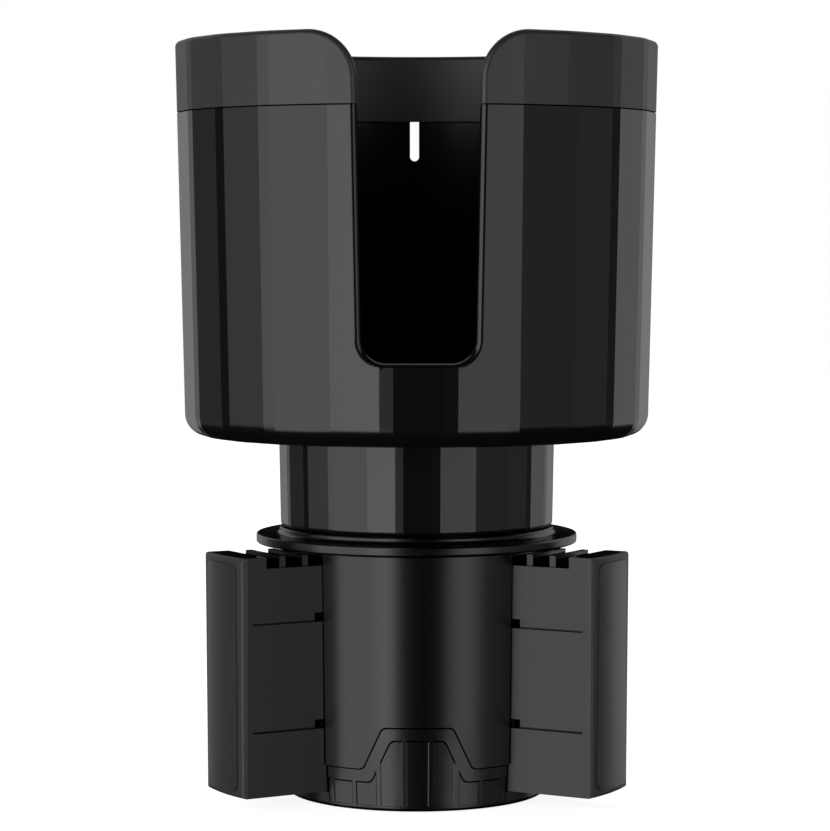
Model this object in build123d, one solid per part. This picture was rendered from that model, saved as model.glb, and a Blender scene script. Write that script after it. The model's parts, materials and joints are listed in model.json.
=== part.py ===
from build123d import *
from math import cos, hypot, pi, radians, sin, tan
import os

# Cup holder expander. A faceted drink cup stands on a round column, and the column stands in a car's
# cup holder. Three fins slide out of the column to fill the holder. Turning the cup turns the drive
# plate under it, and the plate's spiral grooves draw the fins in or push them out.
# Frame: +Z up, origin at the centre of the foot's underside, handle slot towards -Y, millimetres.

# Cup: the heights are counted from its underside, the apothem is measured to the flats
cup_height = 84.9
cup_rim_apothem = 52.0
cup_draft = 1.28
cup_wall = 2.6
cup_floor = 2.6
cup_outer_round = 4.8
cup_inner_round = 3.5
facet_count = 24
facet_strip = 0.057  # width of the narrow flat between two facets, as a share of the apothem

# Handle slot in the front of the cup and the small slot in its rear wall
slot_depth = 67.55
slot_foot_width = 22.9
slot_flare = 1.06  # degrees that each side leans outwards
slot_foot_round = 4.9
slot_mouth_round = 10.1
slot_edge_round = 1.2
rear_slot_width = 2.1
rear_slot_depth = 24.3

# Rim collar, which wraps a thinned tongue of the cup's wall
collar_height = 15.4
collar_outer_skin = 1.0
collar_inner_skin = 0.8
collar_top_skin = 2.0
collar_edge_round = 1.1
collar_fit = 0.05
collar_seam = 0.3

# Neck under the cup, with the same facets
neck_height = 19.85
neck_foot_apothem = 29.57
neck_draft = 1.04
neck_wall = 3.0
neck_foot_round = 1.1

# Drive plate between the neck and the column
flange_radius = 35.0
flange_thickness = 2.05
flange_root_round = 0.9
boss_radius = 29.9
boss_height = 1.45
step_radius = 27.6
step_height = 0.1
spigot_radius = 28.0
spigot_height = 0.35
plate_edge_round = 0.4
locating_rib_height = 2.4
locating_rib_wall = 1.6
locating_rib_fit = 0.15
pillar_ring_radius = 19.0
pillar_radius = 3.4

# Spiral drive: the lead is the fins' travel for one whole turn of the cup
drive_lead = 23.66
drive_turn = 210.0
drive_pin_radius = 2.0
drive_pin_fit = 0.1
drive_pin_start = 23.4
groove_depth = 2.8
groove_floor_gap = 0.3
pin_seat_depth = 10.0
pin_seat_wall = 1.4
pin_seat_fit = 0.02

# Column shell
column_top_radius = 29.75
column_draft = 0.8
column_skin = 2.2
column_height = 52.0
column_to_plate = 0.4
base_disc = 1.0
base_disc_radius = 26.9
channel_gap = 0.25
channel_wall = 1.6
lower_skin_radius = 25.3
lower_skin_height = 17.6
post_radius = 4.8
post_to_plate = 0.1
cap_boss_radius = 3.0
cap_boss_height = 11.0
rail_height = 1.6
rail_bite = 0.4
rail_start = 20.2
rail_end = 26.8

# Bottom cap with its raised band and ribbed field
cap_foot_radius = 28.25
cap_top_radius = 29.1
cap_inner_radius = 27.1
cap_floor = 1.0
cap_foot_round = 0.9
cap_seam = 0.35
seam_low = 9.1
seam_high = 18.15
seam_high_half_width = 7.6
seam_foot_half_width = 11.7
seam_round = 1.5
band_width = 2.75
band_groove_width = 0.35
band_groove_depth = 0.8
field_depth = 0.2
field_foot = 1.2
field_rib_count = 32
field_rib_width = 0.85

# Foot pad
pad_thickness = 1.1
pad_proud = 0.1
pad_radius = 24.0
pad_fit = 0.1
pad_edge_round = 0.08

# Fins
fin_bottom_gap = 0.2
fin_top_gap = 0.4
fin_top_half_width = 8.75
fin_bottom_half_width = 8.5
fin_top_radius = 48.15
fin_radius_lean = 0.3
fin_inner_end = 19.2
fin_inner_chamfer = 1.5
fin_wall = 1.5
fin_block_length = 6.45
fin_notch_depth = 2.4
fin_rib_rise = 0.25
fin_rib_thickness = 1.4
fin_rib_pitch = 5.4
fin_rib_gap = 4.35
fin_rib_count = 3
fin_groove_width = 2.0
fin_groove_depth = 0.8
fin_groove_gap = 3.25
lower_groove_height = 16.9
left_groove_height = 39.8
right_groove_height = 38.3
fin_window_width = 1.5
fin_window_start = 28.2
fin_edge_round = 0.8

# Fin pads, set in a recess of the fin's outer face
grip_proud = 0.1
grip_thickness = 1.2
grip_side_border = 2.1
grip_end_border = 1.4
grip_corner_round = 1.8
grip_fit = 0.06

# Fasteners
bolt_radius = 2.0
bolt_fit = 0.1
thread_fit = 0.05
bolt_head_radius = 3.6
bolt_head_height = 2.8
bolt_socket_flats = 3.0
bolt_socket_depth = 1.6
washer_radius = 5.0
washer_thickness = 0.8
washer_to_plate = 0.1
nut_flats = 7.0
nut_height = 3.2
screw_radius = 1.4
screw_length = 9.0
screw_head_radius = 2.8
screw_head_height = 1.4
screw_cross = 0.7
screw_cross_length = 3.6
screw_cross_depth = 0.8
screw_head_fit = 0.2
tip_gap = 0.7  # left free under the tips of the screws and the bolt

# Cup mat
mat_gap = 0.6
mat_thickness = 1.6
mat_ring_count = 4
mat_ring_pitch = 9.0
mat_ring_width = 1.4
mat_ring_depth = 0.6

# Heights worked out from the sizes above
cap_floor_top = pad_thickness + cap_floor
base_disc_top = cap_floor_top + base_disc
fin_bottom = base_disc_top + fin_bottom_gap
column_top = cap_floor_top + column_height
plate_bottom = column_top + column_to_plate
fin_top = plate_bottom - fin_top_gap
fin_height = fin_top - fin_bottom
flange_bottom = plate_bottom + spigot_height
flange_top = flange_bottom + flange_thickness
boss_top = flange_top + boss_height
neck_bottom = boss_top + step_height
cup_bottom = neck_bottom + neck_height
cup_floor_top = cup_bottom + cup_floor
rim_top = cup_bottom + cup_height
collar_bottom = rim_top - collar_height
slot_bottom = rim_top - slot_depth

# Other sizes worked out from them
cup_floor_radius = cup_rim_apothem - (rim_top - cup_floor_top) * tan(radians(cup_draft)) - cup_wall
mat_radius = cup_floor_radius - cup_inner_round - mat_gap
channel_half_width = fin_top_half_width + channel_gap
groove_half_width = drive_pin_radius + drive_pin_fit
neck_inner_radius = neck_foot_apothem - neck_wall
fin_bottom_radius = fin_top_radius - fin_radius_lean
fin_block_start = fin_top_radius - fin_block_length
fin_rib_start = fin_block_start - fin_rib_gap
fin_groove_end = fin_top_radius - fin_groove_gap
grip_outer_radius = fin_top_radius + grip_proud
fin_turn = 360 / 3
fin_directions = {"rear": 90, "left": 90 + fin_turn, "right": 90 + 2 * fin_turn}
tower_directions = (270, 270 + fin_turn, 270 + 2 * fin_turn)
pillar_directions = tuple(fin_directions.values())
cut = 5.0  # how far a cutter runs past the face that it opens
near = 0.01  # two lengths that differ by less are the same


def upright(radius, bottom, top, x=0.0, y=0.0):
    """A round bar standing on Z."""
    return Pos(x, y, bottom) * extrude(Circle(radius), top - bottom)


def turned(*profile):
    """A solid of revolution about Z from (radius, height) corners."""
    return revolve(Plane.XZ * make_face(Polyline(*profile, close=True)), Axis.Z)


def on_ring(radius, angle):
    """The point on a circle about Z, at an angle from +X."""
    return radius * cos(radians(angle)), radius * sin(radians(angle))


def facet_corners(apothem, height):
    """The corners of a regular outline with narrow flats between its facets, one facet facing -Y."""
    half_step = 180 / facet_count
    half_strip = apothem * facet_strip / 2 / cos(radians(half_step))
    half_facet = apothem * tan(radians(half_step)) - half_strip
    corners = []
    for facet in range(facet_count):
        turn = radians(facet * 2 * half_step - 90)
        for side in (-half_facet, half_facet):
            x = apothem * cos(turn) - side * sin(turn)
            y = apothem * sin(turn) + side * cos(turn)
            corners.append((x, y, height))
    return corners


def facet_prism(bottom_apothem, bottom, top, draft):
    """A faceted bar that widens upwards by its draft, built from its flat faces."""
    top_apothem = bottom_apothem + (top - bottom) * tan(radians(draft))
    low = facet_corners(bottom_apothem, bottom)
    high = facet_corners(top_apothem, top)
    outlines = [low, high]
    outlines += [(low[n - 1], low[n], high[n], high[n - 1]) for n in range(len(low))]
    return Solid(Shell([make_face(Polyline(*outline, close=True)) for outline in outlines]))


def cup_apothem(height):
    """The cup's apothem at a height."""
    return cup_rim_apothem - (rim_top - height) * tan(radians(cup_draft))


def cup_cavity(extra):
    """The round inside of the cup, widened by extra, open at the top."""
    low = cup_floor_radius + extra
    lean = tan(radians(cup_draft))
    high_z = rim_top + cut
    high = low + (high_z - cup_floor_top) * lean
    body = turned((0, cup_floor_top), (low, cup_floor_top), (high, high_z), (0, high_z))
    return fillet(body.edges().sort_by(Axis.Z)[0], cup_inner_round)


def slot_half_width(height):
    """Half the handle slot's width at a height."""
    return slot_foot_width / 2 + (height - slot_bottom) * tan(radians(slot_flare))


def on_cup_face(edge):
    """Whether an edge lies on the outside of the cup's wall."""
    middle = edge @ 0.5
    return hypot(middle.X, middle.Y) > cup_apothem(middle.Z) - cup_wall / 4


def along_slot(edge):
    """Whether an edge lies on the handle slot's sides or foot."""
    middle = edge @ 0.5
    return middle.Y < 0 and middle.Z > slot_bottom - near and abs(middle.X) < slot_half_width(middle.Z) + near


def slot_cutter(extra):
    """The handle slot, widened by extra on each side, running out of the front wall."""
    top = rim_top + cut
    low = slot_half_width(slot_bottom) + extra
    high = slot_half_width(top) + extra
    corners = ((-low, slot_bottom), (low, slot_bottom), (high, top), (-high, top))
    face = make_face(Polyline(*corners, close=True))
    feet = face.vertices().group_by(Axis.Y)[0]
    face = fillet(feet, slot_foot_round)
    return extrude(Plane.XZ * face, cup_rim_apothem + cut)


def slot_mouth_cutter(extra):
    """The rounded corners where the handle slot meets the rim, widened by extra."""
    centre_z = rim_top - slot_mouth_round
    centre_x = slot_half_width(centre_z) + slot_mouth_round
    height = slot_mouth_round + cut
    mouth = Pos(0, centre_z + height / 2) * Rectangle(2 * centre_x, height)
    for side in (1, -1):
        mouth -= Pos(side * centre_x, centre_z) * Circle(slot_mouth_round - extra)
    return extrude(Plane.XZ * mouth, cup_rim_apothem + cut)


def rear_slot_cutter(width, bottom, top):
    """An upright slot through the rear wall with a round foot."""
    half = width / 2
    foot = bottom + half
    sides = Polyline((half, foot), (half, top), (-half, top), (-half, foot))
    arc = ThreePointArc((-half, foot), (0, bottom), (half, foot))
    return extrude(Plane.XZ * make_face([sides, arc]), -(cup_rim_apothem + cut))


def rim_tongue(fit):
    """The thinned top of the cup's wall that the collar wraps, grown by fit on its faces."""
    top = rim_top - collar_top_skin + fit
    bottom = collar_bottom
    outer = facet_prism(cup_apothem(bottom) - collar_outer_skin + fit, bottom, top, cup_draft)
    ring = outer - cup_cavity(collar_inner_skin - fit)
    ring -= slot_cutter(collar_outer_skin - fit)
    ring -= slot_mouth_cutter(collar_outer_skin - fit)
    return ring - rear_slot_cutter(rear_slot_width - 2 * fit, collar_bottom - cut, rim_top - cut)


def make_cup_body():
    """The cup and its neck, one moulding."""
    shell = facet_prism(cup_apothem(cup_bottom), cup_bottom, collar_bottom, cup_draft)
    foot_edges = shell.faces().sort_by(Axis.Z)[0].edges()
    shell = fillet(foot_edges, cup_outer_round)
    neck = facet_prism(neck_foot_apothem, neck_bottom, cup_bottom + cup_floor / 2, neck_draft)
    neck = fillet(neck.faces().sort_by(Axis.Z)[0].edges(), neck_foot_round)
    body = shell + neck
    body -= cup_cavity(0)
    body -= upright(neck_inner_radius, neck_bottom - cut, cup_bottom)
    body -= slot_cutter(0)
    rim = [edge for edge in body.edges() if on_cup_face(edge) and along_slot(edge)]
    body = fillet(rim, slot_edge_round)
    body -= rear_slot_cutter(rear_slot_width, collar_bottom - (rear_slot_depth - collar_height), rim_top)
    body += rim_tongue(0)
    for angle in pillar_directions:
        x, y = on_ring(pillar_ring_radius, angle)
        head_seat = cup_floor_top - screw_head_height
        body -= upright(screw_head_radius + screw_head_fit, head_seat, cup_floor_top + cut, x, y)
        body -= upright(screw_radius + screw_head_fit, cup_bottom - cut, cup_floor_top, x, y)
    return body


def on_collar_rim(edge):
    """Whether an edge of the collar is rounded: on its top, along the handle slot or round the mouth."""
    middle = edge @ 0.5
    if middle.Z > rim_top - near:
        return True
    at_slot = edge.geom_type == GeomType.ELLIPSE or along_slot(edge)
    return at_slot and on_cup_face(edge) and middle.Z > collar_bottom + collar_seam + near


def make_rim_collar():
    """The soft collar: a faceted ring with a groove that takes the tongue."""
    bottom = collar_bottom + collar_seam
    ring = facet_prism(cup_apothem(bottom), bottom, rim_top, cup_draft)
    ring -= cup_cavity(0)
    ring -= slot_cutter(0)
    ring -= slot_mouth_cutter(0)
    rim = [edge for edge in ring.edges() if on_collar_rim(edge)]
    return fillet(rim, collar_edge_round) - rim_tongue(collar_fit)


def spiral_point(turn, side):
    """A point beside the spiral groove's middle line, at a turn of the plate in degrees."""
    radius = drive_pin_start - drive_lead * turn / 360
    angle = radians(-turn)
    along = (drive_lead / (2 * pi), radius)
    length = hypot(*along)
    out_radial = along[1] / length * side
    out_round = -along[0] / length * side
    x = (radius + out_radial) * cos(angle) - out_round * sin(angle)
    y = (radius + out_radial) * sin(angle) + out_round * cos(angle)
    return x, y


def end_point(turn, past):
    """The tip of the groove's round end, past the middle line's first or last point."""
    radius = drive_pin_start - drive_lead * turn / 360
    angle = radians(-turn)
    along_radial = -drive_lead / (2 * pi)
    along_round = -radius
    length = hypot(along_radial, along_round)
    radial = radius + along_radial / length * past
    offset = along_round / length * past
    x = radial * cos(angle) - offset * sin(angle)
    y = radial * sin(angle) + offset * cos(angle)
    return x, y


def arc_chain(points):
    """Arcs through every third point of a row of points."""
    return [ThreePointArc(*points[start:start + 3]) for start in range(0, len(points) - 1, 2)]


def spiral_groove():
    """One spiral groove's outline, with round ends, starting on +X. Its sides are chains of arcs."""
    steps = 16
    turns = [drive_turn * step / steps for step in range(steps + 1)]
    outer = [spiral_point(turn, groove_half_width) for turn in turns]
    inner = [spiral_point(turn, -groove_half_width) for turn in reversed(turns)]
    far_tip = end_point(drive_turn, groove_half_width)
    near_tip = end_point(0, -groove_half_width)
    sides = arc_chain(outer) + [ThreePointArc(outer[-1], far_tip, inner[0])]
    sides += arc_chain(inner) + [ThreePointArc(inner[-1], near_tip, outer[0])]
    return make_face(sides)


def make_drive_plate():
    """The turning plate: flange, boss and step outside, spiral grooves below, pillars above."""
    plate = turned((0, plate_bottom), (spigot_radius, plate_bottom), (spigot_radius, flange_bottom),
                   (flange_radius, flange_bottom), (flange_radius, flange_top), (boss_radius, flange_top),
                   (boss_radius, boss_top), (step_radius, boss_top), (step_radius, neck_bottom),
                   (0, neck_bottom))
    rims = plate.edges().filter_by(GeomType.CIRCLE)
    soft = [edge for edge in rims if abs(edge.radius - flange_radius) < near]
    boss_edges = ShapeList([edge for edge in rims if abs(edge.radius - boss_radius) < near])
    soft.append(boss_edges.sort_by(Axis.Z)[-1])
    plate = fillet(soft, plate_edge_round)
    rims = plate.edges().filter_by(GeomType.CIRCLE)
    root = [edge for edge in rims if abs(edge.radius - boss_radius) < near]
    plate = fillet(ShapeList(root).sort_by(Axis.Z)[0], flange_root_round)
    rib_radius = neck_inner_radius - locating_rib_fit
    rib_top = neck_bottom + locating_rib_height
    rib_inside = upright(rib_radius - locating_rib_wall, neck_bottom, rib_top)
    plate += upright(rib_radius, neck_bottom, rib_top) - rib_inside
    for angle in pillar_directions:
        x, y = on_ring(pillar_ring_radius, angle)
        plate += upright(pillar_radius, neck_bottom - boss_height, cup_bottom, x, y)
        plate -= upright(screw_radius + thread_fit, cup_bottom - screw_length, cup_bottom + cut, x, y)
    plate -= upright(bolt_radius + bolt_fit, plate_bottom - cut, neck_bottom + cut)
    for angle in fin_directions.values():
        plate -= Pos(0, 0, plate_bottom) * Rot(0, 0, angle) * extrude(spiral_groove(), groove_depth)
    return plate


def column_radius(height):
    """The column's outer radius at a height."""
    return column_top_radius - (column_top - height) * tan(radians(column_draft))


def seam_outline(inset):
    """The line between the column and the cap on one tower, in (across, height), moved down by inset."""
    lean = hypot(seam_foot_half_width - seam_high_half_width, seam_high - seam_low)
    shift = inset * lean / (seam_high - seam_low)
    foot_shift = shift - inset * (seam_foot_half_width - seam_high_half_width) / (seam_high - seam_low)
    high = seam_high_half_width - foot_shift
    foot = seam_foot_half_width - foot_shift
    side = cap_top_radius * sin(radians(60))
    low_z = seam_low - inset
    high_z = seam_high - inset
    points = [(-side, -cut), (side, -cut), (side, low_z), (foot, low_z), (high, high_z)]
    points += [(-high, high_z), (-foot, low_z), (-side, low_z)]
    face = make_face(Polyline(*points, close=True))
    corners = [v for v in face.vertices() if v.Y > 0 and abs(v.X) < side - near]
    return fillet(corners, seam_round)


def seam_block(inset):
    """The seam's outline pushed outwards through all three towers."""
    start = post_radius + channel_half_width / 2
    blocks = Part()
    for angle in tower_directions:
        block = Pos(0, -start, 0) * extrude(Plane.XZ * seam_outline(inset), cap_top_radius + cut - start)
        blocks += Rot(0, 0, angle + 90) * block
    return blocks


def channel(half_width, bottom, top):
    """The three straight channels that the fins slide in."""
    length = flange_radius + cut
    slabs = Part()
    for angle in fin_directions.values():
        slab = Pos(length / 2, 0, (bottom + top) / 2) * Box(length, 2 * half_width, top - bottom)
        slabs += Rot(0, 0, angle) * slab
    return slabs


def fin_half_width(height):
    """Half the fin's width at a height."""
    share = (height - fin_bottom) / fin_height
    return fin_bottom_half_width + (fin_top_half_width - fin_bottom_half_width) * share


def groove_heights(side):
    """The lower edges of the grooves on one side of a fin: +1 is left, looking outwards."""
    high = left_groove_height if side > 0 else right_groove_height
    return lower_groove_height, high


def guide_rails():
    """The short rails on the channel walls that run in the fins' grooves."""
    rails = Part()
    length = rail_end - rail_start
    for angle in fin_directions.values():
        for side in (1, -1):
            for low in groove_heights(side):
                z = low + fin_groove_width / 2
                tip = fin_half_width(z) - rail_bite
                depth = channel_half_width + channel_wall / 2 - tip
                rail = Box(length, depth, rail_height)
                rails += Rot(0, 0, angle) * Pos(rail_start + length / 2, side * (tip + depth / 2), z) * rail
    return rails


def make_column_shell():
    """Three hollow towers with a round skin, tied by a disc, with the pivot's post in the middle."""
    bottom_radius = column_radius(base_disc_top)
    towers = turned((0, base_disc_top), (bottom_radius, base_disc_top), (column_top_radius, column_top),
                    (0, column_top))
    step_z = base_disc_top + lower_skin_height
    core = turned((0, base_disc_top), (lower_skin_radius, base_disc_top), (lower_skin_radius, step_z),
                  (column_radius(step_z) - column_skin, step_z + column_skin),
                  (column_top_radius - column_skin, column_top + cut), (0, column_top + cut))
    towers -= core - channel(channel_half_width + channel_wall, base_disc_top - cut, column_top + 2 * cut)
    towers -= channel(channel_half_width, base_disc_top - cut, column_top + cut)
    relief = seam_block(0) - upright(base_disc_radius, -2 * cut, rim_top)
    towers -= relief
    body = towers + upright(base_disc_radius, cap_floor_top, base_disc_top)
    body += upright(post_radius, cap_floor_top, plate_bottom - post_to_plate)
    for angle in tower_directions:
        x, y = on_ring(pillar_ring_radius, angle)
        body += upright(cap_boss_radius, base_disc_top, base_disc_top + cap_boss_height, x, y)
        body -= upright(screw_radius + thread_fit, cap_floor_top - cut, cap_floor_top + screw_length, x, y)
    body += guide_rails()
    body -= upright(bolt_radius + bolt_fit, cap_floor_top - cut, column_top + cut)
    pocket = extrude(RegularPolygon(nut_flats / 2 + thread_fit, 6, major_radius=False), nut_height)
    return body - Pos(0, 0, cap_floor_top) * pocket


def cap_radius(height):
    """The cap's outer radius at a height."""
    share = (height - pad_proud) / (seam_high - pad_proud)
    return cap_foot_radius + (cap_top_radius - cap_foot_radius) * share


def cap_ring(depth):
    """A ring that reaches a depth into the cap's outer face."""
    outside = cap_top_radius + cut
    return turned((cap_radius(field_foot) - depth, field_foot), (outside, field_foot),
                  (outside, seam_high), (cap_radius(seam_high) - depth, seam_high))


def cap_field():
    """The recess under the band and the groove along the band, with the upright ribs left standing."""
    outside = cap_top_radius + cut
    inside_band = seam_block(band_width)
    field = cap_ring(field_depth) & inside_band
    field += cap_ring(band_groove_depth) & (inside_band - seam_block(band_width + band_groove_width))
    for index in range(field_rib_count):
        angle = (index + 0.5) * 360 / field_rib_count - 90
        rib = Pos(outside - cut, 0, seam_high / 2) * Box(4 * cut, field_rib_width, seam_high + cut)
        field -= Rot(0, 0, angle) * rib
    return field


def make_bottom_cap():
    """The cap: a floor and a wall whose top edge follows the seam, with slots for the fins."""
    foot = (cap_foot_radius, pad_proud)
    wall = turned((0, pad_proud), foot, (cap_top_radius, seam_high), (0, seam_high))
    edge = wall.faces().sort_by(Axis.Z)[0].edges()
    wall = fillet(edge, cap_foot_round)
    ring = wall - upright(cap_inner_radius, cap_floor_top, rim_top)
    low = ring & upright(flange_radius, -cut, base_disc_top)
    high = ring & upright(flange_radius, base_disc_top - base_disc / 2, rim_top) & seam_block(cap_seam)
    high -= channel(channel_half_width, base_disc_top, rim_top)
    body = low + high
    body -= cap_field() - channel(channel_half_width, -cut, rim_top)
    body -= upright(pad_radius + pad_fit, pad_proud - cut, pad_thickness)
    for angle in tower_directions:
        x, y = on_ring(pillar_ring_radius, angle)
        body -= Pos(x, y, 0) * countersink(screw_head_fit / 2)
    return body


def countersink(fit):
    """The flat screw head's cone from the pad's recess up through the cap's floor."""
    head = screw_head_radius + fit
    shank = screw_radius + fit
    return turned((0, pad_thickness), (head, pad_thickness), (shank, cap_floor_top), (0, cap_floor_top))


def cross_recess(face_z, down):
    """A screwdriver's cross in a head whose face lies at a height, cut down or up into it."""
    z = face_z - screw_cross_depth / 2 if down else face_z + screw_cross_depth / 2
    bar = Pos(0, 0, z) * Box(screw_cross_length, screw_cross, screw_cross_depth)
    return bar + Rot(0, 0, 90) * bar


def make_cap_screw(angle):
    """A flat-headed screw that holds the cap to its tower."""
    screw = countersink(0) + upright(screw_radius, cap_floor_top, cap_floor_top + screw_length - tip_gap)
    screw -= cross_recess(pad_thickness, False)
    x, y = on_ring(pillar_ring_radius, angle)
    return Pos(x, y, 0) * screw


def make_cup_screw(angle):
    """A pan-headed screw through the cup's floor into the drive plate's pillar."""
    seat = cup_floor_top - screw_head_height
    face = cup_floor_top - screw_head_fit
    screw = upright(screw_head_radius, seat, face)
    screw += upright(screw_radius, cup_bottom - screw_length + tip_gap, seat)
    screw -= cross_recess(face, True)
    x, y = on_ring(pillar_ring_radius, angle)
    return Pos(x, y, 0) * screw


def make_foot_pad():
    """The round pad that the expander stands on."""
    pad = upright(pad_radius, 0, pad_thickness)
    return fillet(pad.edges().sort_by(Axis.Z)[0], pad_edge_round)


def make_cup_mat():
    """The loose mat on the cup's floor, with ring grooves in its face."""
    top = cup_floor_top + mat_thickness
    mat = upright(mat_radius, cup_floor_top, top)
    for ring in range(1, mat_ring_count + 1):
        radius = ring * mat_ring_pitch
        groove = upright(radius + mat_ring_width / 2, top - mat_ring_depth, top + cut)
        mat -= groove - upright(radius - mat_ring_width / 2, top - mat_ring_depth, top + cut)
    return mat


def make_pivot_bolt():
    """The bolt that the drive plate turns on, with a six-sided socket in its head."""
    seat = neck_bottom + washer_to_plate + washer_thickness
    bolt = upright(bolt_head_radius, seat, seat + bolt_head_height)
    bolt += upright(bolt_radius, cap_floor_top + tip_gap, seat)
    socket = extrude(RegularPolygon(bolt_socket_flats / 2, 6, major_radius=False), bolt_socket_depth)
    return bolt - Pos(0, 0, seat + bolt_head_height - bolt_socket_depth) * socket


def make_pivot_washer():
    """The washer under the bolt's head."""
    seat = neck_bottom + washer_to_plate
    hole = upright(bolt_radius + thread_fit, seat, seat + cut)
    return upright(washer_radius, seat, seat + washer_thickness) - hole


def make_pivot_nut():
    """The nut held in the post's foot."""
    nut = extrude(RegularPolygon(nut_flats / 2, 6, major_radius=False), nut_height)
    nut -= Pos(0, 0, -cut) * extrude(Circle(bolt_radius + thread_fit), nut_height + 2 * cut)
    return Pos(0, 0, cap_floor_top) * nut


def fin_outline(half_width):
    """The fin's flat sides and inner end seen from above, lying along +X."""
    outer = fin_top_radius + cut
    inner = fin_inner_end
    bevel = fin_inner_chamfer
    corners = ((outer, -half_width), (inner + bevel, -half_width), (inner, -half_width + bevel),
               (inner, half_width - bevel), (inner + bevel, half_width), (outer, half_width))
    return make_face(Polyline(*corners, close=True))


def grip_sheet(fit):
    """The pad's form: a curved sheet with round corners, grown by fit at its edges."""
    mean_half = (fin_top_half_width + fin_bottom_half_width) / 2
    width = 2 * (mean_half - grip_side_border + fit)
    height = fin_height - 2 * (grip_end_border - fit)
    middle = (fin_top + fin_bottom) / 2
    inner = grip_outer_radius - grip_thickness
    window = extrude(Plane.YZ * RectangleRounded(width, height, grip_corner_round), grip_outer_radius + cut)
    window = Pos(0, 0, middle) * window
    ring = upright(grip_outer_radius + fit, fin_bottom - cut, fin_top + cut)
    ring -= upright(inner, fin_bottom - cut, fin_top + cut)
    return ring & window


def make_fin_carrier():
    """One hollow fin along +X: open top, cross ribs, side grooves and the drive pin's seat."""
    low = Pos(0, 0, fin_bottom) * fin_outline(fin_bottom_half_width)
    high = Pos(0, 0, fin_top) * fin_outline(fin_top_half_width)
    body = loft([low, high], ruled=True)
    body &= turned((0, fin_bottom), (fin_bottom_radius, fin_bottom), (fin_top_radius, fin_top), (0, fin_top))
    outer_face = body.faces().sort_by(Axis.X)[-1]
    body = fillet(outer_face.edges(), fin_edge_round)
    pocket_start = fin_inner_end + fin_wall
    pocket_end = fin_block_start - fin_wall
    pocket_half = fin_bottom_half_width - fin_wall
    pocket_length = pocket_end - pocket_start
    floor = fin_bottom + fin_wall
    pocket = Pos(pocket_start + pocket_length / 2, 0, floor + fin_height / 2)
    pocket = pocket * Box(pocket_length, 2 * pocket_half, fin_height)
    for index in range(fin_rib_count):
        rib_x = fin_rib_start - index * fin_rib_pitch
        rib_z = fin_top + fin_rib_rise
        rib = Pos(rib_x, 0, rib_z / 2) * Box(fin_rib_thickness, 2 * fin_top_half_width, rib_z)
        pocket -= rib
    seat_radius = drive_pin_radius + pin_seat_wall
    seat_top = fin_top - fin_notch_depth
    pocket -= upright(seat_radius, seat_top - pin_seat_depth - fin_wall, seat_top, drive_pin_start)
    body -= pocket
    notch_length = fin_block_start - fin_inner_end + cut
    notch = Box(notch_length, 2 * fin_top_half_width + cut, fin_notch_depth + cut)
    notch = Pos(fin_block_start - notch_length / 2, 0, fin_top - fin_notch_depth / 2 + cut / 2) * notch
    for index in range(fin_rib_count):
        rib_x = fin_rib_start - index * fin_rib_pitch
        rib_z = fin_top + fin_rib_rise
        notch -= Pos(rib_x, 0, rib_z / 2) * Box(fin_rib_thickness, 2 * pocket_half + fin_wall, rib_z)
    body -= notch
    hollow_length = fin_top_radius - fin_block_start - grip_thickness - 2 * fin_wall
    hollow = Box(hollow_length, 2 * pocket_half, fin_height - 2 * fin_wall)
    hollow_x = fin_block_start + fin_wall + hollow_length / 2
    body -= Pos(hollow_x, 0, fin_bottom + fin_height / 2 - fin_wall) * hollow
    for side in (1, -1):
        for groove_low in groove_heights(side):
            body -= fin_groove(side, groove_low)
    body -= grip_sheet(grip_fit)
    hole = upright(drive_pin_radius + pin_seat_fit, seat_top - pin_seat_depth, fin_top + cut, drive_pin_start)
    return body - hole


def fin_groove(side, low):
    """One side groove of a fin, with the small window where the column's edge crosses it."""
    z = low + fin_groove_width / 2
    face = fin_half_width(z)
    length = fin_groove_end - fin_inner_end + cut
    depth = fin_groove_depth + cut
    groove = Pos(fin_groove_end - length / 2, side * (face - fin_groove_depth + depth / 2), z)
    groove = groove * Box(length, depth, fin_groove_width)
    window_depth = 2 * fin_wall + cut
    window = Pos(fin_window_start + fin_window_width / 2, side * (face - fin_wall + cut / 2), z)
    return groove + window * Box(fin_window_width, window_depth, fin_groove_width)


def make_drive_pin():
    """The steel pin on a fin that runs in its spiral groove."""
    seat_top = fin_top - fin_notch_depth
    top = plate_bottom + groove_depth - groove_floor_gap
    pin = upright(drive_pin_radius, seat_top - pin_seat_depth, top, drive_pin_start)
    return chamfer(pin.edges().sort_by(Axis.Z)[-1], groove_floor_gap)


def save(name, shape, precision=PrecisionMode.AVERAGE):
    """Write one sub-part, with the file's length precision taken from its faces' tolerances."""
    export_step(shape, f"parts/{name}.step", precision_mode=precision)


os.makedirs("parts", exist_ok=True)
save("cup_body", make_cup_body())
save("rim_collar", make_rim_collar(), PrecisionMode.LEAST)  # coarser, the rounded mouth reads back torn
save("cup_mat", make_cup_mat())
save("drive_plate", make_drive_plate())
save("column_shell", make_column_shell())
save("bottom_cap", make_bottom_cap())
save("foot_pad", make_foot_pad())
save("pivot_bolt", make_pivot_bolt())
save("pivot_washer", make_pivot_washer())
save("pivot_nut", make_pivot_nut())
for number, direction in enumerate(pillar_directions, 1):
    save(f"cup_screw_{number}", make_cup_screw(direction))
for number, direction in enumerate(tower_directions, 1):
    save(f"cap_screw_{number}", make_cap_screw(direction))
carrier = make_fin_carrier()
grip = grip_sheet(0)
pin = make_drive_pin()
for place, direction in fin_directions.items():
    save(f"fin_carrier_{place}", Rot(0, 0, direction) * carrier)
    save(f"fin_pad_{place}", Rot(0, 0, direction) * grip)
    save(f"drive_pin_{place}", Rot(0, 0, direction) * pin)
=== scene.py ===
import json
from math import cos, pi, radians, sin, tan

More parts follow.
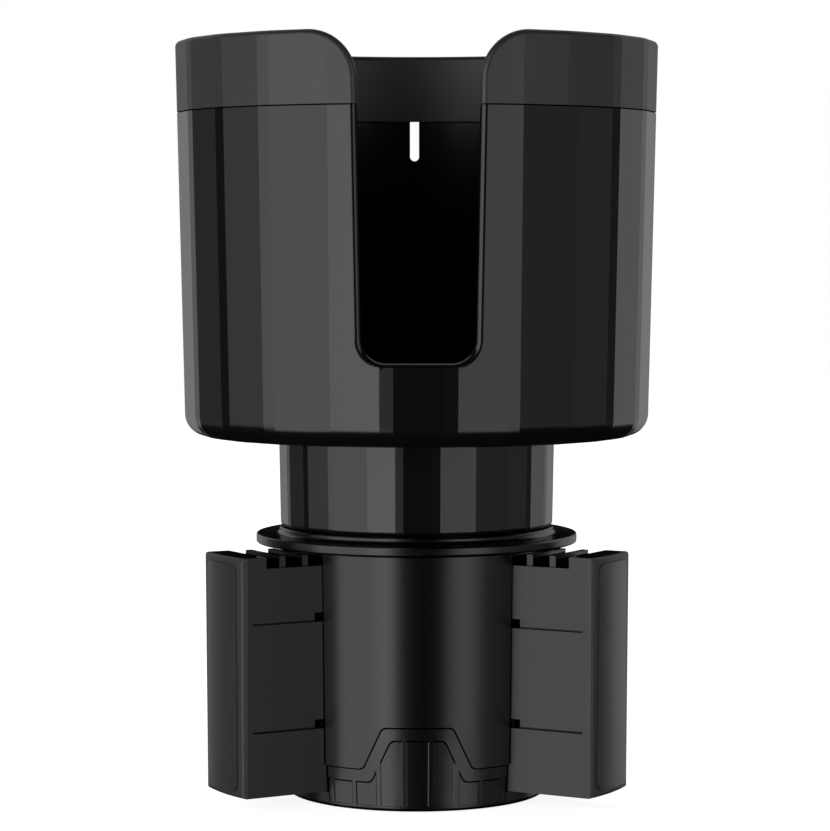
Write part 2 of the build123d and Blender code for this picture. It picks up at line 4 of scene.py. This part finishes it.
import bpy
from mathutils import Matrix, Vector


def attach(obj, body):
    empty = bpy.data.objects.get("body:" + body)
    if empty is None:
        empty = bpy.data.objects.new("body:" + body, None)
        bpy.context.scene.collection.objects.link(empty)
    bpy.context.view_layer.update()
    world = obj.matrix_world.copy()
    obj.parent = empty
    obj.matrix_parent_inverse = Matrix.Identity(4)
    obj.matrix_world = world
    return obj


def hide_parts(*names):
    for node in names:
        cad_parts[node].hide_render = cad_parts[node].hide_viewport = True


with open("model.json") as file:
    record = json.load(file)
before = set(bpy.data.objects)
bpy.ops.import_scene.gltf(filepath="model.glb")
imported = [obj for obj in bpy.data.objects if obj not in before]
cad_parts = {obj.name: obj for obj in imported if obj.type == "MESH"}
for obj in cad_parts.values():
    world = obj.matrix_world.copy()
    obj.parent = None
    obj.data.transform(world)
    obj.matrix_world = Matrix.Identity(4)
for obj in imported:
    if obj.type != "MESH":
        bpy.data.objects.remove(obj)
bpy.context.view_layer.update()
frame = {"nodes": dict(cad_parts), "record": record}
bpy.ops.object.select_all(action="DESELECT")

# Lengths are in metres and angles in degrees

# The camera: the photograph is 830 x 831 pixels, and the sensor spans the longer side
SENSOR = 0.036
LENS = 0.1329
CAMERA_BACK = 0.6692
CAMERA_HEIGHT = 0.1210
CAMERA_LEFT = 0.00033
CAMERA_DIP = 3.31
CAMERA_BEARING = -0.5
SEEN_FROM = 0.01
SEEN_TO = 50.0
MILLIMETRES = 1000  # in a metre, for the camera's own lengths


def place_camera():
    """The camera in front of the handle slot, a little above the middle and looking slightly down."""
    data = bpy.data.cameras.new("camera")
    data.sensor_width = SENSOR * MILLIMETRES
    data.lens = LENS * MILLIMETRES
    data.clip_start = SEEN_FROM
    data.clip_end = SEEN_TO
    camera = bpy.data.objects.new("camera", data)
    bearing = radians(CAMERA_BEARING)
    to_the_right = CAMERA_BACK * sin(bearing) - CAMERA_LEFT
    camera.location = (to_the_right, -CAMERA_BACK * cos(bearing), CAMERA_HEIGHT)
    camera.rotation_euler = (radians(90 - CAMERA_DIP), 0, bearing)
    bpy.context.scene.collection.objects.link(camera)
    bpy.context.scene.camera = camera


place_camera()
bpy.context.scene.view_settings.view_transform = "Standard"


# What the frame says of its nodes

BEHAVIOUR = frame["record"]["behaviour"]
BODY_OF = {node: body for body, nodes in BEHAVIOUR["bodies"].items() for node in nodes}
FIN_AXES = {joint["child"].removeprefix("fin_"): joint["axis"] for joint in BEHAVIOUR["joints"]
            if joint["type"] == "slide"}


def heights(node):
    """The heights of the lowest and the highest point of a node."""
    levels = [vertex.co.z for vertex in frame["nodes"][node].data.vertices]
    return min(levels), max(levels)


# Shader tools

# The colour sockets of a Mix node go by their order, because its number sockets have the same names
MIX_DARK = 6
MIX_LIGHT = 7
MIX_RESULT = 2


class Number:
    """A number that varies over a surface. Arithmetic on it adds Math nodes to its finish."""

    def __init__(self, finish, socket):
        self.finish = finish
        self.socket = socket

    def _with(self, operation, *terms):
        node = self.finish.node("ShaderNodeMath", {"operation": operation}, *terms)
        return Number(self.finish, node.outputs[0])

    def __add__(self, other):
        return self._with("ADD", self, other)

    __radd__ = __add__

    def __mul__(self, other):
        return self._with("MULTIPLY", self, other)

    __rmul__ = __mul__

    def __sub__(self, other):
        return self._with("SUBTRACT", self, other)

    def __rsub__(self, other):
        return self._with("SUBTRACT", other, self)

    def __pow__(self, other):
        return self._with("POWER", self, other)

    def size(self):
        """The number without its sign."""
        return self._with("ABSOLUTE", self)

    def least(self, other):
        """The smaller of this and another."""
        return self._with("MINIMUM", self, other)

    def most(self, other):
        """The larger of this and another."""
        return self._with("MAXIMUM", self, other)

    def remainder(self):
        """What is left over a whole number."""
        return self._with("FRACT", self)

    def bearing_from(self, other):
        """The angle in radians of a point with this as its y and the other as its x."""
        return self._with("ARCTAN2", self, other)

    def above(self, limit):
        """1 where the number is above a limit, 0 elsewhere."""
        return self._with("GREATER_THAN", self, limit)

    def below(self, limit):
        """1 where the number is below a limit, 0 elsewhere."""
        return self._with("LESS_THAN", self, limit)

    def between(self, low, high):
        """1 where the number is between two limits, 0 elsewhere."""
        return self.above(low) * self.below(high)

    def swing(self, amount):
        """A number from 0 to 1 as a swing of that amount, half of it to each side of 0."""
        return (self - 0.5) * amount


class Finish:
    """One surface finish: a material, its node tree and its shader."""

    def __init__(self, name):
        self.material = bpy.data.materials.new(name)
        self.material.use_nodes = True
        self.tree = self.material.node_tree
        self.shader = self.tree.nodes["Principled BSDF"]
        self.surface = self.tree.nodes["Material Output"].inputs["Surface"]
        self.place = self.node("ShaderNodeTexCoord").outputs["Object"]
        parts = self.node("ShaderNodeSeparateXYZ", None, self.place).outputs
        self.x, self.y, self.height = [Number(self, part) for part in parts]
        self.radius = (self.x ** 2 + self.y ** 2) ** 0.5

    def node(self, kind, settings=None, *values, **named):
        """A node with its settings made first, then its sockets, by order or by name."""
        node = self.tree.nodes.new(kind)
        for key, value in (settings or {}).items():
            setattr(node, key, value)
        for order, value in enumerate(values):
            self.feed(node.inputs[order], value)
        for key, value in named.items():
            self.feed(node.inputs[key.replace("_", " ")], value)
        return node

    def feed(self, socket, value):
        """Links a value to a socket, or sets it there."""
        if isinstance(value, Number):
            value = value.socket
        if isinstance(value, bpy.types.NodeSocket):
            self.tree.links.new(value, socket)
        else:
            socket.default_value = value

    def set(self, **sockets):
        """Links or sets sockets of the shader, by name."""
        for key, value in sockets.items():
            self.feed(self.shader.inputs[key.replace("_", " ")], value)

    def noise(self, size, detail, roughness, stretch=(1, 1, 1)):
        """Noise whose features are about size metres wide, from 0 to 1."""
        place = self.node("ShaderNodeMapping", None, Vector=self.place, Scale=stretch).outputs["Vector"]
        node = self.node("ShaderNodeTexNoise", None, Vector=place, Scale=1 / size, Detail=detail,
                         Roughness=roughness)
        return Number(self, node.outputs["Fac"])

    def blend_colours(self, factor, dark, light):
        """A colour between two, by a number."""
        node = self.node("ShaderNodeMix", {"data_type": "RGBA"})
        self.feed(node.inputs["Factor"], factor)
        self.feed(node.inputs[MIX_DARK], dark)
        self.feed(node.inputs[MIX_LIGHT], light)
        return node.outputs[MIX_RESULT]

    def uneven_grey(self, factor, level, shares):
        """A grey that varies between two shares of its level, by a number."""
        dark, light = shares
        return self.blend_colours(factor, grey(level * dark), grey(level * light))

    def relief(self, height, depth):
        """Bump of a height from 0 to 1, depth metres deep, over any relief that is there already."""
        node = self.node("ShaderNodeBump", None, Distance=depth, Height=height)
        normal = self.shader.inputs["Normal"]
        if normal.is_linked:
            self.feed(node.inputs["Normal"], normal.links[0].from_socket)
        self.feed(normal, node.outputs["Normal"])

    def lay_over(self, factor, colour, roughness, refraction):
        """A second plain surface that shows where the factor is 1."""
        second = self.node("ShaderNodeBsdfPrincipled", None, Base_Color=grey(colour), Roughness=roughness,
                           IOR=refraction)
        first = self.surface.links[0].from_socket
        mixed = self.node("ShaderNodeMixShader", None, factor, first, second.outputs[0])
        self.feed(self.surface, mixed.outputs[0])


GREY_RED = 0.99
GREY_BLUE = 1.03


def grey(level):
    """A neutral colour with the faint blue of carbon-black plastic."""
    return (level * GREY_RED, level, level * GREY_BLUE, 1.0)


# Moulded plastic

FLOW_SIZE = 0.03
FLOW_STRETCH = (1, 1, 0.35)
FLOW_GLOSS = 0.05
GRAIN_SIZE = 0.00035
GRAIN_GLOSS = 0.04
GRAIN_DEPTH = 0.0000035
PLASTIC_SHADES = (0.8, 1.2)
PLASTIC_REFRACTION = 1.49


def moulded_plastic(name, colour, roughness, refraction=PLASTIC_REFRACTION):
    """Black moulded plastic: a fine spark-eroded grain, faint flow marks and slightly uneven gloss."""
    finish = Finish(name)
    flow = finish.noise(FLOW_SIZE, detail=3, roughness=0.55, stretch=FLOW_STRETCH)
    grain = finish.noise(GRAIN_SIZE, detail=2, roughness=0.6)
    finish.roughness = roughness + flow.swing(FLOW_GLOSS) + grain.swing(GRAIN_GLOSS)
    finish.set(Base_Color=finish.uneven_grey(flow, colour, PLASTIC_SHADES),
               Roughness=finish.roughness, IOR=refraction)
    finish.relief(grain, GRAIN_DEPTH)
    return finish


# Soft rubber

BLOOM_SIZE = 0.018
BLOOM_GLOSS = 0.08
PEBBLE_SIZE = 0.0005
PEBBLE_DEPTH = 0.000012
RUBBER_SHADES = (0.75, 1.3)
RUBBER_REFRACTION = 1.5


def soft_rubber(name, colour, roughness, refraction=RUBBER_REFRACTION):
    """Soft-touch rubber: matt, with a tight pebbled skin and a little bloom."""
    finish = Finish(name)
    bloom = finish.noise(BLOOM_SIZE, detail=4, roughness=0.6)
    pebble = finish.noise(PEBBLE_SIZE, detail=3, roughness=0.65)
    finish.set(Base_Color=finish.uneven_grey(bloom, colour, RUBBER_SHADES),
               Roughness=roughness + bloom.swing(BLOOM_GLOSS), IOR=refraction)
    finish.relief(pebble, PEBBLE_DEPTH)
    return finish


# Plated steel

MARK_SIZE = 0.0004
MARK_STRETCH = (1, 1, 12)
MARK_GLOSS = 0.12
MARK_DEPTH = 0.000004
PATCH_SIZE = 0.004
STEEL_DARK = (0.50, 0.51, 0.53, 1)
STEEL_LIGHT = (0.62, 0.63, 0.64, 1)
STEEL_ROUGHNESS = 0.28


def plated_steel():
    """Zinc-plated steel with fine turning marks round its axis."""
    finish = Finish("plated_steel")
    marks = finish.noise(MARK_SIZE, detail=2, roughness=0.5, stretch=MARK_STRETCH)
    patch = finish.noise(PATCH_SIZE, detail=2, roughness=0.5)
    finish.set(Base_Color=finish.blend_colours(patch, STEEL_DARK, STEEL_LIGHT), Metallic=1.0,
               Roughness=STEEL_ROUGHNESS + marks * MARK_GLOSS)
    finish.relief(marks, MARK_DEPTH)
    return finish


# Deep in the seams, grooves and pockets a near-black matt is laid over as painted shade, where the
# surfaces lie in shadow.
# Each skin below is the depth under a surface from which something shows, such as the painted shade
# Painted shade: a near-black matt surface for recesses that lie in shadow
PAINTED_SHADE = {"colour": 0.0003, "roughness": 0.9, "refraction": 1.1}

# The plate, the column and the cap have one black
LOWER_BLACK = {"colour": 0.0012, "roughness": 0.26}


# The cup, with a seam below the collar. The painted shade in the seam begins just above the seam's lower
# face

COLLAR_FOOT = heights("rim_collar")[0]
SEAM_FOOT = COLLAR_FOOT - 0.00027
SEAM_HEAD = COLLAR_FOOT + 0.00002


def shell_plastic():
    """The cup's plastic, with painted shade in the seam below the collar."""
    shell = moulded_plastic("moulded_shell_black", colour=0.0035, roughness=0.20)
    # Painted shade: a near-black matt laid over the seam below the collar, where it lies in shadow
    shell.lay_over(shell.height.between(SEAM_FOOT, SEAM_HEAD), **PAINTED_SHADE)
    return shell


# The column, a cone with openings

COLUMN_FOOT_RADIUS = 0.028995
COLUMN_SLOPE = 0.01396
COLUMN_SKIN = 0.0001


def column_plastic():
    """The column's plastic, with painted shade behind its openings."""
    column = moulded_plastic("moulded_column_black", **LOWER_BLACK)
    surface = column.height * COLUMN_SLOPE + COLUMN_FOOT_RADIUS
    # Painted shade: a near-black matt on every surface under the column's outer skin, inside the openings
    column.lay_over(column.radius.below(surface - COLUMN_SKIN), **PAINTED_SHADE)
    return column


# The cap, a cone with a grooved band and a field of upright ribs

CAP_FOOT_RADIUS = 0.02825
CAP_SLOPE = 0.047
CAP_SKIN = 0.0003
FIELD_FOOT = 0.0013
FIELD_SKIN = 0.0001
RIB_COUNT = 32
RIB_PITCH = 2 * pi / RIB_COUNT
RIB_HALF = 0.000425
RIB_FOOT_WIDTH = 0.0002
RIB_FOOT_DEPTH = 0.00012


def cap_plastic():
    """The cap's plastic, with painted shade in its grooves, and a small round along each foot of its ribs.
    """
    cap = moulded_plastic("moulded_cap_black", **LOWER_BLACK)
    surface = cap.height * CAP_SLOPE + CAP_FOOT_RADIUS
    above_foot = cap.height.above(FIELD_FOOT)
    # Painted shade: a near-black matt on the surfaces sunk below the cap's cone, in its grooves
    cap.lay_over(cap.radius.below(surface - CAP_SKIN) * above_foot, **PAINTED_SHADE)

    # A rib stands in the middle of each pitch
    pitches = cap.y.bearing_from(cap.x) * (1 / RIB_PITCH) + RIB_COUNT
    from_rib = (pitches.remainder() - 0.5).size() * cap.radius * RIB_PITCH
    rib_foot = ((RIB_HALF + RIB_FOOT_WIDTH - from_rib) * (1 / RIB_FOOT_WIDTH)).least(1).most(0)
    in_field = cap.radius.below(surface - FIELD_SKIN) * above_foot
    cap.relief(rib_foot * in_field, RIB_FOOT_DEPTH)
    return cap


# The fins are alike: a pocket inside, two grooves on each side, the upper one a step higher on one side,
# and a soft outer face round the pad

FIN_FOOT, FIN_HEAD = heights("fin_carrier_left")
FIN_FOOT_HALF = 0.0085
FIN_HEAD_HALF = 0.00875
FIN_SIDE_SLOPE = (FIN_HEAD_HALF - FIN_FOOT_HALF) / (FIN_HEAD - FIN_FOOT)
FIN_SKIN = 0.00012
FIN_TOP_SKIN = 0.00005
FIN_TOP_SMOOTHER = 0.09
POCKET_HALF = 0.0073
POCKET_END = 0.0405
POCKET_DROP = 0.0007
LOWER_GROOVE_LINE = 0.01705
UPPER_GROOVE_LINE = 0.03845
UPPER_GROOVE_STEP = 0.0015
GROOVE_LINE_HALF = 0.00018
# How much painted shade lies along the lower edges of the grooves
GROOVE_PAINTED_SHADE = 0.6
FIN_FACE_RADIUS = 0.0469
PAD_COLOUR = 0.030


def fin_plastic(place, axis):
    """The plastic of the fin that slides along an axis: smoother on its top, with painted shade in its
    pocket and along the lower edges of its grooves, and soft on its outer face."""
    plastic = moulded_plastic("moulded_fin_black_" + place, colour=0.0014, roughness=0.26, refraction=1.47)
    top = plastic.height.above(FIN_HEAD - FIN_TOP_SKIN)
    plastic.set(Roughness=plastic.roughness - top * FIN_TOP_SMOOTHER)
    axis_x, axis_y, _ = axis
    along = plastic.x * axis_x + plastic.y * axis_y
    aside = plastic.y * axis_x - plastic.x * axis_y
    across = aside.size()

    in_pocket = across.below(POCKET_HALF) * along.below(POCKET_END)
    in_pocket = in_pocket * plastic.height.between(FIN_FOOT + FIN_SKIN, FIN_HEAD - POCKET_DROP)

    from_lower = (plastic.height - LOWER_GROOVE_LINE).size()
    from_upper = (plastic.height - UPPER_GROOVE_LINE - aside.above(0) * UPPER_GROOVE_STEP).size()
    side = (plastic.height - FIN_FOOT) * FIN_SIDE_SLOPE + (FIN_FOOT_HALF - FIN_SKIN)
    on_line = from_upper.least(from_lower).below(GROOVE_LINE_HALF) * across.below(side)

    # Painted shade: a near-black matt in the pocket and, in part, along the lower edges of the grooves
    plastic.lay_over(in_pocket.most(on_line * GROOVE_PAINTED_SHADE), **PAINTED_SHADE)
    plastic.lay_over(plastic.radius.above(FIN_FACE_RADIUS), PAD_COLOUR, roughness=0.47, refraction=1.5)
    return plastic


# Each node takes the finish of the family that its name starts with

MAT = soft_rubber("soft_mat_black", colour=0.006, roughness=0.55)
STEEL = plated_steel()
FINISHES = {
    "cup_body": shell_plastic(),
    "rim_collar": soft_rubber("soft_collar_black", colour=0.018, roughness=0.45, refraction=1.6),
    "cup_mat": MAT,
    "cup_screw": STEEL,
    "drive_plate": moulded_plastic("moulded_plate_black", **LOWER_BLACK),
    "drive_pin": STEEL,
    "pivot": STEEL,
    "column_shell": column_plastic(),
    "bottom_cap": cap_plastic(),
    "cap_screw": STEEL,
    "foot_pad": MAT,
    "fin_pad": soft_rubber("soft_pad_black", PAD_COLOUR, roughness=0.30),
}
for place, axis in FIN_AXES.items():
    FINISHES["fin_carrier_" + place] = fin_plastic(place, axis)

for node, piece in frame["nodes"].items():
    finish = next(FINISHES[family] for family in FINISHES if node.startswith(family))
    piece.data.materials.clear()
    piece.data.materials.append(finish.material)


# The fins' mould edges are softened on copies that stand for the nodes

MERGE = 0.000001
MOULD_EDGE = 0.00015
MOULD_EDGE_SEGMENTS = 2
FLAT_ANGLE = 1
MOULD_EDGE_ANGLE = 35
SHADING_ANGLE = 50
FLAT_FACE_WEIGHT = 100


def soften(node):
    """A merged copy of a node with its sharp edges rounded, which replaces the node."""
    source = frame["nodes"][node]
    bpy.ops.object.select_all(action="DESELECT")
    source.select_set(True)
    bpy.context.view_layer.objects.active = source
    bpy.ops.object.duplicate()
    piece = bpy.context.active_object
    piece.name = node + "_softened"
    bpy.ops.object.mode_set(mode="EDIT")
    bpy.ops.mesh.select_all(action="SELECT")
    bpy.ops.mesh.remove_doubles(threshold=MERGE)
    bpy.ops.mesh.dissolve_limited(angle_limit=radians(FLAT_ANGLE))
    bpy.ops.object.mode_set(mode="OBJECT")
    edges = piece.modifiers.new("mould_edges", "BEVEL")
    edges.width = MOULD_EDGE
    edges.segments = MOULD_EDGE_SEGMENTS
    edges.limit_method = "ANGLE"
    edges.angle_limit = radians(MOULD_EDGE_ANGLE)
    bpy.ops.object.modifier_apply(modifier=edges.name)
    bpy.ops.object.shade_smooth_by_angle(angle=radians(SHADING_ANGLE))
    shading = piece.modifiers.new("flat_faces_stay_flat", "WEIGHTED_NORMAL")
    shading.weight = FLAT_FACE_WEIGHT
    shading.keep_sharp = True
    bpy.ops.object.modifier_apply(modifier=shading.name)
    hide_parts(node)
    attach(piece, BODY_OF[node])


for place in FIN_AXES:
    soften("fin_carrier_" + place)


# The floor

FLOOR_REACH = 1.25
FLOOR_SIDES = 64
FLOOR_COLOUR = (0.9, 0.9, 0.9, 1)
FLOOR_ROUGHNESS = 0.9
FLOOR_GLOW = 0.88
WHITE = (1, 1, 1, 1)


def make_floor():
    """A plain white floor that runs out of sight and keeps the shadow."""
    bpy.ops.mesh.primitive_circle_add(vertices=FLOOR_SIDES, radius=FLOOR_REACH, fill_type="NGON")
    floor = bpy.context.active_object
    floor.name = "floor"
    finish = Finish("floor_white")
    finish.set(Base_Color=FLOOR_COLOUR, Roughness=FLOOR_ROUGHNESS)
    lit = finish.shader.outputs[0]
    glow = finish.node("ShaderNodeEmission", None, Color=WHITE, Strength=FLOOR_GLOW).outputs[0]
    glowing = finish.node("ShaderNodeAddShader", None, lit, glow).outputs[0]
    seen = finish.node("ShaderNodeLightPath").outputs["Is Camera Ray"]
    finish.feed(finish.surface, finish.node("ShaderNodeMixShader", None, seen, lit, glowing).outputs[0])
    floor.data.materials.append(finish.material)
    floor.visible_glossy = False
    floor.visible_shadow = False


# The lamps

def hang_lamp(name, width, height, brightness, place, turn):
    """A flat lamp that the camera doesn't see. Its power goes with its area."""
    data = bpy.data.lights.new(name, "AREA")
    data.shape = "RECTANGLE"
    data.size = width
    data.size_y = height
    data.energy = brightness * pi * width * height
    lamp = bpy.data.objects.new(name, data)
    lamp.location = place
    lamp.rotation_euler = turn
    lamp.visible_camera = False
    bpy.context.scene.collection.objects.link(lamp)


# Softboxes stand round the object: the bearing is counted from the camera's side, to the right,
# and each has the bearings of its two edges, its lower end and how bright it is
SOFTBOX_DISTANCE = 1.6
SOFTBOX_HIGH = 0.9
KEY_LOW = -1.0
WING_LOW = -0.5
RIM_LOW = -0.4
SOFTBOXES = {
    "key_left": (-80, -34, KEY_LOW, 1.8),
    "key_left_inner": (-34, -18, KEY_LOW, 2.6),
    "key_right_inner": (25, 34, KEY_LOW, 1.25),
    "key_right": (34, 44, KEY_LOW, 1.6),
    "key_right_outer": (44, 54, KEY_LOW, 1.2),
    "wing_right": (56, 104, WING_LOW, 0.28),
    "wing_left": (-97, -84, WING_LOW, 0.7),
    "rim_right": (116, 134, RIM_LOW, 0.75),
    "rim_right_far": (134, 156, RIM_LOW, 0.52),
    "rim_right_end": (156, 166, RIM_LOW, 0.35),
    "rim_left": (-132, -112, RIM_LOW, 0.14),
    "rim_left_far": (-156, -132, RIM_LOW, 0.54),
    "rim_left_end": (-168, -156, RIM_LOW, 0.4),
}


def make_softboxes():
    """Tall flat lamps that face the object's axis."""
    for name, (start, end, low, brightness) in SOFTBOXES.items():
        bearing = radians(start + end) / 2
        width = 2 * SOFTBOX_DISTANCE * tan(radians(end - start) / 2)
        place = Vector((sin(bearing), -cos(bearing), 0)) * SOFTBOX_DISTANCE
        place.z = (low + SOFTBOX_HIGH) / 2
        hang_lamp(name, width, SOFTBOX_HIGH - low, brightness, place, (radians(90), 0, bearing))


# A wide lamp leans over the object from behind and draws the light lines along the upper edges
TOP_BRIGHTNESS = 0.6
TOP_DISTANCE = 1.6
TOP_RISE = 54
TOP_WIDTH = 2.6
TOP_HEIGHT = 1.4


def make_top_light():
    """The lamp above and behind."""
    rise = radians(TOP_RISE)
    place = Vector((0, cos(rise), sin(rise))) * TOP_DISTANCE
    hang_lamp("top", TOP_WIDTH, TOP_HEIGHT, TOP_BRIGHTNESS, place, (rise - radians(90), 0, 0))


# The surround

SURROUND_LIGHT = 0.003
SURROUND_SEEN = 1.0


def make_world():
    """A dim surround that the camera sees as white."""
    world = bpy.data.worlds.new("surround")
    world.use_nodes = True
    bpy.context.scene.world = world
    tree = world.node_tree
    background = tree.nodes["Background"]
    path = tree.nodes.new("ShaderNodeLightPath")
    strength = tree.nodes.new("ShaderNodeMapRange")
    strength.inputs["To Min"].default_value = SURROUND_LIGHT
    strength.inputs["To Max"].default_value = SURROUND_SEEN
    tree.links.new(path.outputs["Is Camera Ray"], strength.inputs["Value"])
    tree.links.new(strength.outputs[0], background.inputs["Strength"])
    background.inputs["Color"].default_value = WHITE


make_floor()
make_softboxes()
make_top_light()
make_world()
